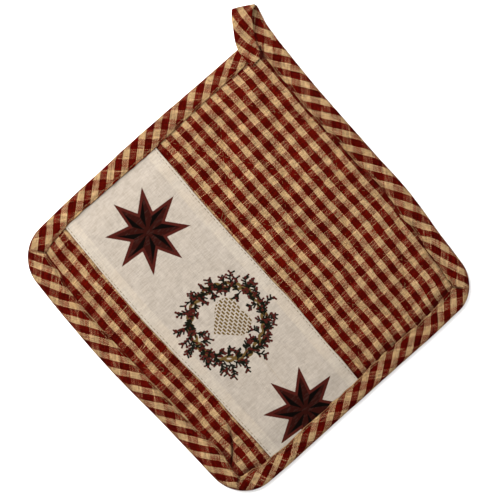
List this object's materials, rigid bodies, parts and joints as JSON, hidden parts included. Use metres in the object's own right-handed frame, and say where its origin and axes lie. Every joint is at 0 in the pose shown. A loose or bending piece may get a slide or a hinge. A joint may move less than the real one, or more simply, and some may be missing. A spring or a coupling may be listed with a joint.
{
  "type": "quilted pot holder",
  "caption": "Square quilted cloth pot holder with a plain band across its checked front, a bias-bound edge and a corner hanging loop, lying face up.",
  "frame": {"origin": "middle of the square, on the flat of its back", "axes": "+X along the plain band, +Y towards the edge that the loop's strip runs along, +Z out of the front"},
  "size_m": [0.225, 0.2096, 0.0107],
  "materials": {
    "gingham": "dark red and tan homespun gingham, quilted",
    "printed_cotton": "cream plain-weave cotton with a printed motif",
    "bias_gingham": "the same gingham cut on the bias and folded",
    "thread": "tan cotton sewing thread"
  },
  "bodies": {
    "root": {"pad": "gingham", "print_band": "printed_cotton", "binding": "bias_gingham", "hanging_loop": "bias_gingham"}
  },
  "joints": []
}
